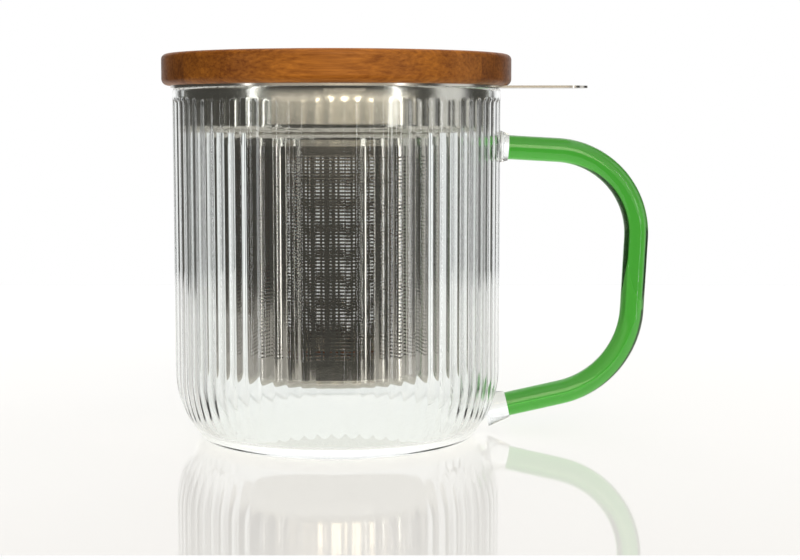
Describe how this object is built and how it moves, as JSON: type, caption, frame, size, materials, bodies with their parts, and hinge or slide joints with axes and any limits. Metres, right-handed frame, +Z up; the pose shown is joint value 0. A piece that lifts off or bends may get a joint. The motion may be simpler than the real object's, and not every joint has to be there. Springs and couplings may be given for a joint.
{
  "type": "lidded tea mug with infuser",
  "caption": "Ribbed clear glass tea mug with a green rod handle, a steel infuser basket hung on the rim and a loose wooden disc lid.",
  "frame": {"origin": "centre of the cup's flat resting face, on the cup's axis", "axes": "+Z up along the cup's axis, +X towards the handle and the infuser's lift tab"},
  "size_m": [0.1269, 0.0906, 0.0991],
  "materials": {
    "clear_glass": "fire-polished borosilicate, ribbed outside",
    "green_glass": "fire-polished green borosilicate rod",
    "infuser_steel": "satin stainless steel, etched with small holes",
    "lid_wood": "oiled caramelised bamboo, satin",
    "silicone": "matt translucent silicone"
  },
  "bodies": {
    "mug": {"mug_body": "clear_glass", "handle_rod": "green_glass", "handle_upper_weld": "clear_glass", "handle_lower_weld": "clear_glass"},
    "infuser": {"infuser_rim": "infuser_steel", "infuser_screen": "infuser_steel", "infuser_base_cup": "infuser_steel"},
    "lid": {"lid_stave_1": "lid_wood", "lid_stave_2": "lid_wood", "lid_stave_3": "lid_wood", "lid_stave_4": "lid_wood", "lid_stave_5": "lid_wood", "lid_plug": "lid_wood", "lid_ring": "silicone"}
  },
  "joints": [
    {"name": "infuser_lift", "type": "slide", "parent": "mug", "child": "infuser", "axis": [0, 0, 1], "range_m": [0, 0.09]},
    {"name": "lid_lift", "type": "slide", "parent": "infuser", "child": "lid", "axis": [0, 0, 1], "range_m": [0, 0.06]}
  ]
}
